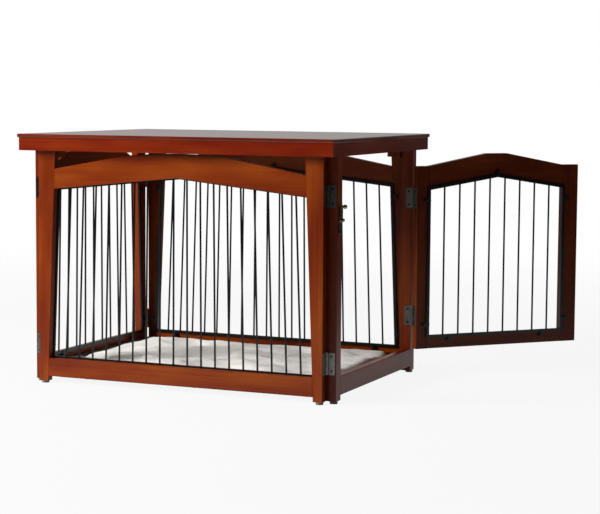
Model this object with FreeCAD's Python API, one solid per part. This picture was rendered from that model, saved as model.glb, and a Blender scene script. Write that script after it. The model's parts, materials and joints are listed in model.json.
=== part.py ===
"""Folding pet crate with a lift-off table top, built at real size in millimetres.

Four framed panels stand in a ring: front, right (with the doorway), back and left.  A panel is
drawn lying along +X from X = 0, with its outer face at Y = 0 and its inner face at Y = STOCK, and
is then turned to its side of the ring.  The finished model stands on Z = 0.
"""

import FreeCAD
import Part
import math
import os

# ---------------------------------------------------------------- driving sizes (mm)
STOCK = 19.0                    # thickness of all panel timber
FRONT_LENGTH = 750.0            # front and back panels, end to end
SIDE_LENGTH = 535.0             # left and right panels, end to end
STILE_TOP = 569.7               # height of the stile tops over the floor
STILE_FOOT_WIDTH = 24.0         # tapered stile at its foot
STILE_HEAD_WIDTH = 47.0         # tapered stile at its head
DOORWAY_STILE_WIDTH = 30.0      # straight stiles beside the doorway
DOORWAY_STILE_DEPTH = 28.5      # their depth, from the panel's outer face inwards
KNUCKLE_ROOM = 0.5              # between such a stile's inner part and the corner's knuckles
ARRIS_RADIUS = 1.6              # rounding of the long timber edges

BOTTOM_RAIL_LOW = 17.5
BOTTOM_RAIL_HEIGHT = 44.5
ARCH_SHOULDER_DROP = 43.7       # from the stile tops down to the arched rail's upper ends
ARCH_END_HEIGHT = 49.0          # height of the arched rail where it meets a stile
ARCH_APEX_RISE = 34.0           # of its under edge, from the stiles to the middle
ARCH_SLOPE_RISE = 34.5          # of its upper edge, from the stiles to the crown
ARCH_CROWN_HALF = 140.0         # half length of the gently curved crown
ARCH_CROWN_RISE = 7.5

GLIDE_RADIUS = 9.0
GLIDE_HEIGHT = 6.0
GLIDE_INSET = 10.5              # glide centre from the end of the panel
GLIDE_STEM_RADIUS = 3.0
GLIDE_STEM_LENGTH = 14.0

# wire grilles
WIRE_RADIUS = 2.3
BAR_WIDTH = 8.0
BAR_THICKNESS = 5.0
BAR_LAP = 4.5                   # how far the frame bar lies over the timber
FRONT_WIRE_COUNT = 18
SIDE_WIRE_COUNT = 10
DOOR_WIRE_COUNT = 8

# screwed clips that hold a grille
CLIP_RADIUS = 5.5
CLIP_PLATE = 1.6
CLIP_TIP_RADIUS = 2.2
CLIP_BAR_GAP = 0.3              # between the clip's foot and the bar
CLIP_SCREW_HEAD_RADIUS = 3.2
CLIP_SCREW_HEAD_HEIGHT = 1.4
CLIP_SCREW_RADIUS = 1.6
CLIP_SCREW_DEPTH = 11.0         # how deep the clip screws go into the timber
CLIP_FROM_CORNER = 30.0         # side clips from the corners of the opening
CLIP_BOTTOM_INSET = 60.0        # lower clips from the corners of the opening

# butt hinges of the ring's corners and of the door
LEAF_THICKNESS = 1.2
LEAF_HEIGHT = 51.0
LEAF_WIDTH = 16.5
LEAF_REACH = 0.2                # how far a leaf's plate stands past the timber's face
KNUCKLE_RADIUS = 3.0
KNUCKLE_PROUD = 0.5             # knuckle's nearest point from the timber's face
KNUCKLES = 3
LEAF_GAP = 0.6                  # between two closed leaves
PIN_RADIUS = 1.45
PIN_CLEARANCE = 0.05
KNUCKLE_CLEARANCE = 0.3         # between neighbouring knuckles, along the pin
PIN_HEAD_RADIUS = 2.4
PIN_HEAD_HEIGHT = 1.6
LOOSE_PIN_HEAD_RADIUS = 3.0
LOOSE_PIN_HEAD_HEIGHT = 6.0
LOOSE_PIN_SPARE = 1.0           # a drawn pin's end from the knuckle that it frees
UPPER_HINGE_DROP = 90.7         # from the stile tops down to the upper hinges' centres
LOWER_HINGE_CENTRE = 93.5
LEAF_SCREW_SPACING = 34.0
LEAF_SCREW_HEAD_RADIUS = 3.0
LEAF_SCREW_RADIUS = 1.5
LEAF_SCREW_DEPTH = 13.0
SCREW_CLEARANCE = 0.05

# door
DOOR_GAP_FREE = 3.0             # between the door's free edge and its stile
DOOR_GAP_BELOW = 3.0
DOOR_STILE_WIDTH = 46.0
DOOR_HINGE_STILE_WIDTH = 32.0   # the narrower stile that carries the hinges
DOOR_RAIL_HEIGHT = 32.0
DOOR_TOP_DROP = 39.7            # from the doorway's stile tops down to the door's
DOOR_CREST_RISE = 31.0          # of the door's crest above its stile tops
DOOR_CREST_HALF = 29.0
DOOR_ARCH_END_HEIGHT = 57.0     # height of the door's top rail where it meets a stile
DOOR_ARCH_RISE = 30.5           # of its under edge, from the stiles to the middle
DOOR_OPEN_ANGLE = 136.0         # as it stands at rest
DOOR_UPPER_HINGE_DROP = 120.7   # from the doorway's stile tops to the upper hinge's centre
DOOR_LOWER_HINGE = 148.0

# turn latch beside the doorway
LATCH_PIVOT_DROP = 145.7        # from the doorway's stile tops down to the arm's pivot
LATCH_PLATE_WIDTH = 15.0
LATCH_PLATE_THICKNESS = 2.5
LATCH_PLATE_UP = 9.0
LATCH_PLATE_DOWN = 33.0
LATCH_ARM_LENGTH = 31.0
LATCH_ARM_WIDTH = 10.0
LATCH_ARM_THICKNESS = 3.0
LATCH_RUNNING_GAP = 0.3
LATCH_PIVOT_RADIUS = 2.0
LATCH_BALL_RADIUS = 4.2
LATCH_KNOB_STEM_RADIUS = 2.4
LATCH_KNOB_STEM_LENGTH = 7.0
LATCH_KNOB_RADIUS = 5.2
LATCH_SCREW_RADIUS = 1.5
LATCH_SCREW_HEAD_RADIUS = 2.8
LATCH_SCREW_HEAD_HEIGHT = 1.3
LATCH_SCREW_DEPTH = 12.0
LATCH_SCREW_MARGIN = 6.0        # plate and keeper screws from the metal's end
KEEPER_WIDTH = 6.0
KEEPER_METAL = 2.0
KEEPER_FROM_EDGE = 1.0          # keeper's near side from the door's free edge
KEEPER_PLATE_LENGTH = 24.0
KEEPER_LIP_HEIGHT = 9.0
KEEPER_ARM_GAP = 0.8            # between the dropped arm and the keeper

# table top
TOP_OVERHANG_SIDE = 15.0        # beyond the outer faces of the left and right panels
TOP_OVERHANG_FRONT = 36.0       # beyond the outer faces of the front and back panels
CAP_THICKNESS = 9.0
CAP_NOSING = 4.0                # how far the cap stands out over the apron
CAP_ROUND = 3.0
APRON_HEIGHT = 31.0
APRON_THICKNESS = 19.0
TOP_SEAT_GAP = 0.3              # between the stile tops and the bearers
BEARER_WIDTH = 78.0
BLOCK_SIDE = 34.0
BLOCK_HEIGHT = 18.0
BLOCK_CLEARANCE = 4.0           # between a locating block and the stiles or rails beside it

# floor tray and pad
TRAY_CLEARANCE = 12.0           # between the tray's rim and the panels' inner faces
TRAY_FLOOR_LOW = 10.0
TRAY_RIM_TOP = 46.0
TRAY_WALL = 3.0
TRAY_DRAFT = 5.0                # each wall leans inwards by this towards the tray's floor
TRAY_CORNER = 22.0
TRAY_LIP = 3.0
TRAY_LIP_THICKNESS = 2.5
TRAY_FOOT_RADIUS = 14.0
TRAY_FOOT_INSET = 70.0
PAD_THICKNESS = 38.0
PAD_CLEARANCE = 6.0             # between the pad's seam and the tray's walls
PAD_SEAT_GAP = 0.3
PAD_CROWN = 4.0
PAD_DRAW = 7.0                  # how far the pad's seam stands out past its flat faces
PAD_CROWN_RUN = 60.0            # from the seam to where the crown is full

# ---------------------------------------------------------------- sizes that follow
BOTTOM_RAIL_HIGH = BOTTOM_RAIL_LOW + BOTTOM_RAIL_HEIGHT
ARCH_SHOULDER_HIGH = STILE_TOP - ARCH_SHOULDER_DROP
ARCH_SHOULDER_LOW = ARCH_SHOULDER_HIGH - ARCH_END_HEIGHT
ARCH_APEX_LOW = ARCH_SHOULDER_LOW + ARCH_APEX_RISE
ARCH_CROWN_EDGE = ARCH_SHOULDER_HIGH + ARCH_SLOPE_RISE
PIN_FROM_END = LEAF_THICKNESS + LEAF_GAP / 2.0
PIN_FROM_FACE = KNUCKLE_PROUD + KNUCKLE_RADIUS
CORNER_GAP = PIN_FROM_END + PIN_FROM_FACE
KNUCKLE_LENGTH = LEAF_HEIGHT / KNUCKLES
CORNER_HINGES = (STILE_TOP - UPPER_HINGE_DROP, LOWER_HINGE_CENTRE)
DOOR_HINGES = (STILE_TOP - DOOR_UPPER_HINGE_DROP, DOOR_LOWER_HINGE)
LOOSE_PIN_DRAW = (KNUCKLES - 1) * KNUCKLE_LENGTH + LOOSE_PIN_SPARE

SIDE_NEAR = STOCK + CORNER_GAP                    # Y where the side panels begin
SIDE_FAR = SIDE_NEAR + SIDE_LENGTH
BACK_INNER = SIDE_FAR + CORNER_GAP
BACK_OUTER = BACK_INNER + STOCK
SIDE_INNER = FRONT_LENGTH / 2.0 + CORNER_GAP      # X of the side panels' inner faces
SIDE_OUTER = SIDE_INNER + STOCK
RING_MIDDLE = BACK_OUTER / 2.0

DOOR_GAP_HINGE = 2.0 * PIN_FROM_END
DOOR_START = DOORWAY_STILE_WIDTH + DOOR_GAP_FREE
DOOR_LENGTH = SIDE_LENGTH - DOORWAY_STILE_WIDTH - DOOR_START - DOOR_GAP_HINGE
DOOR_LOW = BOTTOM_RAIL_HIGH + DOOR_GAP_BELOW
DOOR_STILE_TOP = STILE_TOP - DOOR_TOP_DROP
DOOR_CREST = DOOR_STILE_TOP + DOOR_CREST_RISE
DOOR_ARCH_LOW = DOOR_STILE_TOP - DOOR_ARCH_END_HEIGHT
DOOR_ARCH_APEX = DOOR_ARCH_LOW + DOOR_ARCH_RISE
DOOR_PIN_ALONG = SIDE_LENGTH - DOORWAY_STILE_WIDTH - PIN_FROM_END
DOORWAY_STILE_REBATE = max(KNUCKLE_RADIUS, LOOSE_PIN_HEAD_RADIUS) - PIN_FROM_END + KNUCKLE_ROOM

LATCH_ALONG = DOORWAY_STILE_WIDTH / 2.0
LATCH_PIVOT_HEIGHT = STILE_TOP - LATCH_PIVOT_DROP
LATCH_ARM_NEAR = LATCH_PLATE_THICKNESS + LATCH_RUNNING_GAP
LATCH_ARM_FAR = LATCH_ARM_NEAR + LATCH_ARM_THICKNESS

TOP_UNDERSIDE = STILE_TOP + TOP_SEAT_GAP
APRON_TOP = TOP_UNDERSIDE + APRON_HEIGHT
TABLE_HEIGHT = APRON_TOP + CAP_THICKNESS
CAP_HALF_X = SIDE_OUTER + TOP_OVERHANG_SIDE
CAP_HALF_Y = RING_MIDDLE + TOP_OVERHANG_FRONT
UP = FreeCAD.Vector(0.0, 0.0, 1.0)


# ---------------------------------------------------------------- small helpers
def vec(x, y, z=0.0):
    """A point."""
    return FreeCAD.Vector(x, y, z)


def box(x_range, y_range, z_range):
    """A box between two corners, each range as (low, high)."""
    low = vec(x_range[0], y_range[0], z_range[0])
    high = vec(x_range[1], y_range[1], z_range[1])
    size = high - low
    return Part.makeBox(size.x, size.y, size.z, low)


def rod(radius, start, end):
    """A round rod between two points."""
    way = end - start
    return Part.makeCylinder(radius, way.Length, start, way)


def polygon(points):
    """A flat face with straight sides through (x, z) points, in the plane Y = 0."""
    corners = [vec(x, 0.0, z) for x, z in points]
    return Part.Face(Part.makePolygon(corners + corners[:1]))


def slab(face, start, end):
    """A face in the plane Y = 0 thickened from Y = start to Y = end."""
    solid = face.extrude(vec(0.0, end - start, 0.0))
    solid.translate(vec(0.0, start, 0.0))
    return solid


def cut_all(solid, tools):
    """The solid less every tool that reaches it."""
    near = [tool for tool in tools if tool.BoundBox.intersect(solid.BoundBox)]
    return solid.cut(near) if near else solid


def eased(solid, upright):
    """Round the long edges of a stile (upright) or of a rail (not upright)."""
    edges = []
    for edge in solid.Edges:
        way = edge.Vertexes[-1].Point - edge.Vertexes[0].Point
        along, across = (abs(way.z), abs(way.x)) if upright else (abs(way.x), abs(way.z))
        if along > across and along > abs(way.y):
            edges.append(edge)
    return solid.makeFillet(ARRIS_RADIUS, edges)


def placed(shape, place):
    """A moved copy of a shape."""
    moved = shape.copy()
    moved.Placement = place.multiply(moved.Placement)
    return moved


def inset(points, distance):
    """Move every side of a convex polygon of (x, z) points inwards; the points run anticlockwise."""
    sides = []
    for (x0, z0), (x1, z1) in zip(points, points[1:] + points[:1]):
        length = math.hypot(x1 - x0, z1 - z0)
        normal = (-(z1 - z0) / length, (x1 - x0) / length)
        sides.append((normal, normal[0] * x0 + normal[1] * z0 + distance))
    corners = []
    for (n0, c0), (n1, c1) in zip(sides[-1:] + sides[:-1], sides):
        det = n0[0] * n1[1] - n0[1] * n1[0]
        corners.append(((c0 * n1[1] - c1 * n0[1]) / det, (c1 * n0[0] - c0 * n1[0]) / det))
    return corners


def rounded_wire(half_x, half_y, radius, height):
    """A rectangle with round corners, centred on the ring's middle, at one height."""
    edges = []
    corners = [(1, -1), (1, 1), (-1, 1), (-1, -1)]
    bulge = radius * math.sqrt(0.5)
    arcs = []
    for index, (sx, sy) in enumerate(corners):
        centre = vec(sx * (half_x - radius), RING_MIDDLE + sy * (half_y - radius), height)
        side_x = centre + vec(sx * radius, 0.0)
        side_y = centre + vec(0.0, sy * radius)
        middle = centre + vec(sx * bulge, sy * bulge)
        first, last = (side_y, side_x) if index % 2 == 0 else (side_x, side_y)
        arcs.append((first, middle, last))
    for arc, following in zip(arcs, arcs[1:] + arcs[:1]):
        edges.append(Part.Arc(*arc).toShape())
        edges.append(Part.LineSegment(arc[2], following[0]).toShape())
    return Part.Wire(edges)


# ---------------------------------------------------------------- framed panels
class Frame:
    """A framed panel: two stiles, a bottom rail and an arched rail, with a grille inside."""

    def __init__(self, length, low, top, foot, head, rail, shoulder, apex_low, crown, spare=0.0):
        self.length = length
        self.spare = spare                      # how much narrower the stile at X = length is
        self.low = low
        self.top = top
        self.foot = foot
        self.head = head
        self.rail_low, self.rail_high = rail
        self.shoulder_low, self.shoulder_high = shoulder
        self.apex_low = apex_low
        self.crown_half, self.crown_edge, self.crown_rise = crown

    def inner(self, height):
        """How far a stile's inner edge lies from the panel's end at a height."""
        share = (height - self.low) / (self.top - self.low)
        return self.foot + (self.head - self.foot) * share

    def mirrored(self, x):
        """The matching place on the other side of the opening's middle."""
        return self.length + self.spare - x

    def middle(self):
        """X of the opening's middle."""
        return (self.length + self.spare) / 2.0

    def stile(self, at_right):
        """One stile, straight on its outer edge and tapered on its inner one."""
        points = [(0.0, self.low), (self.foot, self.low), (self.head, self.top), (0.0, self.top)]
        if at_right:
            points = [(min(self.mirrored(x), self.length), z) for x, z in points]
        return eased(slab(polygon(points), 0.0, STOCK), upright=True)

    def bottom_rail(self):
        """The straight rail between the stiles' feet."""
        low, high = self.rail_low, self.rail_high
        left = [(self.inner(high), high), (self.inner(low), low)]
        right = [(self.mirrored(x), z) for x, z in reversed(left)]
        return eased(slab(polygon(left + right), 0.0, STOCK), upright=False)

    def arched_rail(self):
        """The top rail: a shallow V underneath and a crown between two slopes above."""
        middle = self.middle()
        crest = self.crown_edge + self.crown_rise
        left_low = (self.inner(self.shoulder_low), self.shoulder_low)
        left_high = (self.inner(self.shoulder_high), self.shoulder_high)
        chain = [left_high, left_low, (middle, self.apex_low),
                 (self.mirrored(left_low[0]), left_low[1]),
                 (self.mirrored(left_high[0]), left_high[1]),
                 (middle + self.crown_half, self.crown_edge)]
        corners = [vec(x, 0.0, z) for x, z in chain]
        edges = [Part.LineSegment(a, b).toShape() for a, b in zip(corners, corners[1:])]
        crown_end = vec(middle - self.crown_half, 0.0, self.crown_edge)
        if self.crown_rise > 0.0:
            edges.append(Part.Arc(corners[-1], vec(middle, 0.0, crest), crown_end).toShape())
        else:
            edges.append(Part.LineSegment(corners[-1], crown_end).toShape())
        edges.append(Part.LineSegment(crown_end, corners[0]).toShape())
        return eased(slab(Part.Face(Part.Wire(edges)), 0.0, STOCK), upright=False)

    def opening(self):
        """The corners of the opening inside the timber, anticlockwise from the lower left."""
        low = (self.inner(self.rail_high), self.rail_high)
        high = (self.inner(self.shoulder_low), self.shoulder_low)
        return [low, (self.mirrored(low[0]), low[1]), (self.mirrored(high[0]), high[1]),
                (self.middle(), self.apex_low), high]

    def grille(self, wires):
        """A flat bar frame on the inner face with upright wires welded into it."""
        opening = self.opening()
        ring = polygon(inset(opening, -BAR_LAP)).cut(polygon(inset(opening, BAR_WIDTH - BAR_LAP)))
        solid = slab(ring, STOCK, STOCK + BAR_THICKNESS)
        low_left, low_right, high_right, apex, high_left = inset(opening, BAR_WIDTH / 2.0 - BAR_LAP)
        pitch = (apex[1] - high_left[1]) / (apex[0] - high_left[0])
        depth = STOCK + BAR_THICKNESS / 2.0
        spaces = wires + 1
        rods = []
        for number in range(1, spaces):
            share = number / spaces
            x_low = low_left[0] + (low_right[0] - low_left[0]) * share
            x_high = high_left[0] + (high_right[0] - high_left[0]) * share
            lean = (x_high - x_low) / (high_left[1] - low_left[1])
            side = 1.0 if x_low > apex[0] else -1.0
            rise = apex[1] - low_left[1] - pitch * abs(x_low - apex[0])
            rise /= 1.0 + pitch * side * lean
            rods.append(rod(WIRE_RADIUS, vec(x_low, depth, low_left[1]),
                            vec(x_low + lean * rise, depth, low_left[1] + rise)))
        return solid.fuse(rods)

    def clip_spots(self):
        """Seven clip places as ((x, z) on the timber's edge, (x, z) direction into the timber)."""
        low_left, low_right, high_right, apex, high_left = self.opening()

        def between(start, end, distance):
            length = math.hypot(end[0] - start[0], end[1] - start[1])
            way = ((end[0] - start[0]) / length, (end[1] - start[1]) / length)
            spot = (start[0] + way[0] * distance, start[1] + way[1] * distance)
            return spot, (way[1], -way[0])

        spots = [between(low_left, low_right, CLIP_BOTTOM_INSET),
                 between(low_right, high_right, CLIP_FROM_CORNER),
                 between(high_left, low_left, CLIP_FROM_CORNER)]
        mirrored = [((self.mirrored(x), z), (-nx, nz)) for (x, z), (nx, nz) in spots]
        return spots + mirrored + [(apex, (0.0, 1.0))]


def clip_and_screw(spot, into):
    """One teardrop clip over a grille's bar, with its pan-headed screw."""
    def at(distance, depth):
        return vec(spot[0] + into[0] * distance, depth, spot[1] + into[1] * distance)

    inwards = vec(0.0, 1.0)
    seat = STOCK + BAR_THICKNESS
    foot = BAR_LAP + CLIP_BAR_GAP + CLIP_RADIUS
    tip = BAR_LAP - BAR_WIDTH + CLIP_TIP_RADIUS
    span = foot - tip
    spread = math.acos((CLIP_RADIUS - CLIP_TIP_RADIUS) / span)
    across = vec(-into[1], 0.0, into[0])
    along = vec(into[0], 0.0, into[1])

    def rim(distance, radius, side):
        return at(distance, 0.0) + (along * -math.cos(spread) + across * side * math.sin(spread)) * radius

    round_end = Part.Arc(rim(foot, CLIP_RADIUS, 1.0), at(foot + CLIP_RADIUS, 0.0),
                         rim(foot, CLIP_RADIUS, -1.0)).toShape()
    tip_end = Part.Arc(rim(tip, CLIP_TIP_RADIUS, -1.0), at(tip - CLIP_TIP_RADIUS, 0.0),
                       rim(tip, CLIP_TIP_RADIUS, 1.0)).toShape()
    near = Part.LineSegment(rim(foot, CLIP_RADIUS, -1.0), rim(tip, CLIP_TIP_RADIUS, -1.0)).toShape()
    far = Part.LineSegment(rim(tip, CLIP_TIP_RADIUS, 1.0), rim(foot, CLIP_RADIUS, 1.0)).toShape()
    plate = slab(Part.Face(Part.Wire([round_end, near, tip_end, far])), seat, seat + CLIP_PLATE)
    clip = plate.fuse(Part.makeCylinder(CLIP_RADIUS, BAR_THICKNESS, at(foot, STOCK), inwards))
    clip = clip.cut(clip_screw(at(foot, 0.0), SCREW_CLEARANCE)).removeSplitter()
    return [clip, clip_screw(at(foot, 0.0), 0.0)]


def clip_screw(foot, clearance):
    """A pan-headed screw through a clip's foot."""
    top = STOCK + BAR_THICKNESS + CLIP_PLATE
    inner = foot + vec(0.0, STOCK - CLIP_SCREW_DEPTH - clearance)
    shank = rod(CLIP_SCREW_RADIUS + clearance, inner, foot + vec(0.0, top))
    if clearance > 0.0:
        return shank
    head = rod(CLIP_SCREW_HEAD_RADIUS, foot + vec(0.0, top),
               foot + vec(0.0, top + CLIP_SCREW_HEAD_HEIGHT))
    return shank.fuse(head).removeSplitter()


def clip_holes(frame):
    """The holes that a frame's clip screws need in its timber."""
    foot = BAR_LAP + CLIP_BAR_GAP + CLIP_RADIUS
    return [clip_screw(vec(x + nx * foot, 0.0, z + nz * foot), SCREW_CLEARANCE)
            for (x, z), (nx, nz) in frame.clip_spots()]


# ---------------------------------------------------------------- hinges
class HingeSide:
    """Where a row of hinge leaves sits: an end face and the panel face beside the knuckles."""

    def __init__(self, end, outward, inside, centres, middle_knuckle):
        self.end = end                          # X of the end face
        self.outward = outward                  # +1 or -1, the way that end faces
        self.inside = inside                    # knuckles past the inner face, or the outer one
        self.centres = centres
        self.middle_knuckle = middle_knuckle

    def depth(self, beyond):
        """Y of a place measured outwards from the face beside the knuckles."""
        return STOCK + beyond if self.inside else -beyond

    def pin(self, height):
        """A point on the pin's axis."""
        return vec(self.end + self.outward * PIN_FROM_END, self.depth(PIN_FROM_FACE), height)

    def plate(self, beyond, z_range):
        """A stretch of a leaf's plate between two distances past the face."""
        xs = sorted((self.end, self.end + self.outward * LEAF_THICKNESS))
        return box(xs, sorted(self.depth(b) for b in beyond), z_range)

    def leaf(self, centre):
        """One leaf with its knuckles, bored for the pin and countersunk for two screws."""
        low = centre - LEAF_HEIGHT / 2.0
        body = [self.plate((LEAF_REACH - LEAF_WIDTH, LEAF_REACH), (low, low + LEAF_HEIGHT))]
        for number in range(KNUCKLES):
            if (number % 2 == 1) != self.middle_knuckle:
                continue
            start = low + number * KNUCKLE_LENGTH
            end = start + KNUCKLE_LENGTH
            start += KNUCKLE_CLEARANCE / 2.0 if number else 0.0
            end -= KNUCKLE_CLEARANCE / 2.0 if number < KNUCKLES - 1 else 0.0
            body.append(self.plate((LEAF_REACH, PIN_FROM_FACE), (start, end)))
            body.append(rod(KNUCKLE_RADIUS, self.pin(start), self.pin(end)))
        bore = rod(PIN_RADIUS + PIN_CLEARANCE, self.pin(low), self.pin(low + LEAF_HEIGHT))
        solid = body[0].fuse(body[1:]).cut([bore] + self.screws(centre, SCREW_CLEARANCE))
        return solid.removeSplitter()

    def screws(self, centre, clearance=0.0):
        """Two countersunk screws, their heads flush with the leaf."""
        inward = vec(-self.outward, 0.0)
        shapes = []
        for side in (-1.0, 1.0):
            height = centre + side * LEAF_SCREW_SPACING / 2.0
            seat = vec(self.end, self.depth(LEAF_REACH - LEAF_WIDTH / 2.0), height)
            head = Part.makeCone(LEAF_SCREW_HEAD_RADIUS + clearance, LEAF_SCREW_RADIUS + clearance,
                                 LEAF_THICKNESS, seat - inward * LEAF_THICKNESS, inward)
            shank = Part.makeCylinder(LEAF_SCREW_RADIUS + clearance, LEAF_SCREW_DEPTH + clearance,
                                      seat, inward)
            shapes.append(head.fuse(shank))
        return shapes

    def all_leaves(self):
        """The leaves at every hinge of this row."""
        return [self.leaf(centre) for centre in self.centres]

    def all_screws(self, clearance=0.0):
        """The screws of every leaf of this row."""
        return [screw for centre in self.centres for screw in self.screws(centre, clearance)]

    def hinge_pin(self, centre, head_radius, head_height, lift=0.0):
        """A headed pin; a lift draws it up out of the knuckles below."""
        low = centre - LEAF_HEIGHT / 2.0 + lift
        top = low + LEAF_HEIGHT
        shaft = rod(PIN_RADIUS, self.pin(low), self.pin(top))
        return shaft.fuse(rod(head_radius, self.pin(top), self.pin(top + head_height)))

    def all_pins(self):
        """The fixed pins of this row."""
        return [self.hinge_pin(centre, PIN_HEAD_RADIUS, PIN_HEAD_HEIGHT)
                for centre in self.centres]


def glides(length):
    """Two nail-on glides under a panel's stiles."""
    return [glide(along, 0.0) for along in (GLIDE_INSET, length - GLIDE_INSET)]


def glide(along, clearance):
    """A round glide with a stem in the stile's foot; with a clearance, only the stem's hole."""
    foot = vec(along, STOCK / 2.0)
    stem_top = foot + UP * (GLIDE_HEIGHT + GLIDE_STEM_LENGTH + clearance)
    stem = rod(GLIDE_STEM_RADIUS + clearance, foot + UP * GLIDE_HEIGHT, stem_top)
    if clearance > 0.0:
        return stem
    return stem.fuse(rod(GLIDE_RADIUS, foot, foot + UP * GLIDE_HEIGHT)).removeSplitter()


def glide_holes(length):
    """The stem holes in a panel's stiles."""
    return [glide(along, SCREW_CLEARANCE) for along in (GLIDE_INSET, length - GLIDE_INSET)]


# ---------------------------------------------------------------- the four panels and the door
def panel_frame(length):
    """The frame of a front, back or left panel."""
    return Frame(length, GLIDE_HEIGHT, STILE_TOP, STILE_FOOT_WIDTH, STILE_HEAD_WIDTH,
                 (BOTTOM_RAIL_LOW, BOTTOM_RAIL_HIGH), (ARCH_SHOULDER_LOW, ARCH_SHOULDER_HIGH),
                 ARCH_APEX_LOW, (ARCH_CROWN_HALF, ARCH_CROWN_EDGE, ARCH_CROWN_RISE))


def door_frame():
    """The frame of the door, drawn closed, with its free edge at X = 0."""
    return Frame(DOOR_LENGTH, DOOR_LOW, DOOR_STILE_TOP, DOOR_STILE_WIDTH, DOOR_STILE_WIDTH,
                 (DOOR_LOW, DOOR_LOW + DOOR_RAIL_HEIGHT), (DOOR_ARCH_LOW, DOOR_STILE_TOP),
                 DOOR_ARCH_APEX, (DOOR_CREST_HALF, DOOR_CREST, 0.0),
                 DOOR_STILE_WIDTH - DOOR_HINGE_STILE_WIDTH)


def ring_hinges(length):
    """The hinge rows at a panel's two ends: the first has the middle knuckles."""
    return (HingeSide(0.0, -1.0, True, CORNER_HINGES, True),
            HingeSide(length, 1.0, True, CORNER_HINGES, False))


def frame_hinge_side():
    """The door hinges' leaves on the back stile of the doorway, in the right panel's place."""
    return HingeSide(SIDE_LENGTH - DOORWAY_STILE_WIDTH, -1.0, False, DOOR_HINGES, False)


def door_hinge_side():
    """The door hinges' leaves on the door's edge, in the door's place."""
    return HingeSide(DOOR_LENGTH, 1.0, False, DOOR_HINGES, True)


def grilled_panel(side, length, wires):
    """Every piece of a front, back or left panel, by name."""
    frame = panel_frame(length)
    near, far = ring_hinges(length)
    screws = near.all_screws() + far.all_screws()
    holes = near.all_screws(SCREW_CLEARANCE) + far.all_screws(SCREW_CLEARANCE)
    holes += clip_holes(frame) + glide_holes(length)
    return {
        side + "_left_stile": cut_all(frame.stile(False), holes),
        side + "_right_stile": cut_all(frame.stile(True), holes),
        side + "_top_rail": cut_all(frame.arched_rail(), holes),
        side + "_bottom_rail": cut_all(frame.bottom_rail(), holes),
        side + "_grille": frame.grille(wires),
        side + "_grille_clips": [piece for spot in frame.clip_spots()
                                 for piece in clip_and_screw(*spot)],
        side + "_hinge_leaves": near.all_leaves() + far.all_leaves(),
        side + "_screws": screws,
        side + "_glides": glides(length),
    }


def doorway_stile(at_back):
    """A stile beside the doorway: deeper than the rail, and rebated past the corner's knuckles."""
    z_range = (GLIDE_HEIGHT, STILE_TOP)

    def part(start, y_range):
        xs = (start, DOORWAY_STILE_WIDTH)
        if at_back:
            xs = (SIDE_LENGTH - DOORWAY_STILE_WIDTH, SIDE_LENGTH - start)
        return eased(box(xs, y_range, z_range), upright=True)

    outer = part(0.0, (0.0, STOCK))
    inner = part(DOORWAY_STILE_REBATE, (STOCK / 2.0, DOORWAY_STILE_DEPTH))
    return outer.fuse(inner).removeSplitter()


def doorway_panel():
    """Every fixed piece of the right panel: a U of two stiles and a bottom rail."""
    near, far = ring_hinges(SIDE_LENGTH)
    door_side = frame_hinge_side()
    width = DOORWAY_STILE_WIDTH
    holes = near.all_screws(SCREW_CLEARANCE) + far.all_screws(SCREW_CLEARANCE)
    holes += door_side.all_screws(SCREW_CLEARANCE) + glide_holes(SIDE_LENGTH)
    holes += latch_plate_screws(SCREW_CLEARANCE) + [latch_pivot(SCREW_CLEARANCE)]
    rail = box((width, SIDE_LENGTH - width), (0.0, STOCK), (BOTTOM_RAIL_LOW, BOTTOM_RAIL_HIGH))
    return {
        "right_front_stile": cut_all(doorway_stile(False), holes),
        "right_back_stile": cut_all(doorway_stile(True), holes),
        "right_bottom_rail": eased(rail, upright=False),
        "right_hinge_leaves": near.all_leaves() + far.all_leaves(),
        "doorway_hinge_leaves": door_side.all_leaves(),
        "right_screws": near.all_screws() + far.all_screws() + door_side.all_screws()
        + latch_plate_screws(0.0),
        "right_glides": glides(SIDE_LENGTH),
        "door_hinge_pins": door_side.all_pins(),
        "latch_plate": latch_plate(),
        "latch_pivot_screw": latch_pivot(0.0),
        "latch_arm": latch_arm(),
        "latch_knob": latch_knob(),
    }


def door():
    """Every piece of the door, drawn closed."""
    frame = door_frame()
    hinge_side = door_hinge_side()
    holes = hinge_side.all_screws(SCREW_CLEARANCE) + clip_holes(frame)
    holes += [keeper_screw(SCREW_CLEARANCE)]
    return {
        "door_free_stile": cut_all(frame.stile(False), holes),
        "door_hinge_stile": cut_all(frame.stile(True), holes),
        "door_top_rail": cut_all(frame.arched_rail(), holes),
        "door_bottom_rail": cut_all(frame.bottom_rail(), holes),
        "door_grille": frame.grille(DOOR_WIRE_COUNT),
        "door_grille_clips": [piece for spot in frame.clip_spots()
                              for piece in clip_and_screw(*spot)],
        "door_hinge_leaves": hinge_side.all_leaves(),
        "door_screws": hinge_side.all_screws() + [keeper_screw(0.0)],
        "latch_keeper": latch_keeper(),
    }


# ---------------------------------------------------------------- latch
def on_latch(height, outwards):
    """A point on the latch's centre line, so far out from the stile's outer face."""
    return vec(LATCH_ALONG, -outwards, height)


def latch_plate():
    """The back plate under the arm, bored for the pivot and one screw."""
    half = LATCH_PLATE_WIDTH / 2.0
    heights = (LATCH_PIVOT_HEIGHT - LATCH_PLATE_DOWN, LATCH_PIVOT_HEIGHT + LATCH_PLATE_UP)
    plate = box((LATCH_ALONG - half, LATCH_ALONG + half), (-LATCH_PLATE_THICKNESS, 0.0), heights)
    corners = [edge for edge in plate.Edges if abs(edge.tangentAt(edge.FirstParameter).y) > 0.5]
    plate = plate.makeFillet(half / 2.0, corners)
    return plate.cut(latch_plate_screws(SCREW_CLEARANCE) + [latch_pivot(SCREW_CLEARANCE)])


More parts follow.
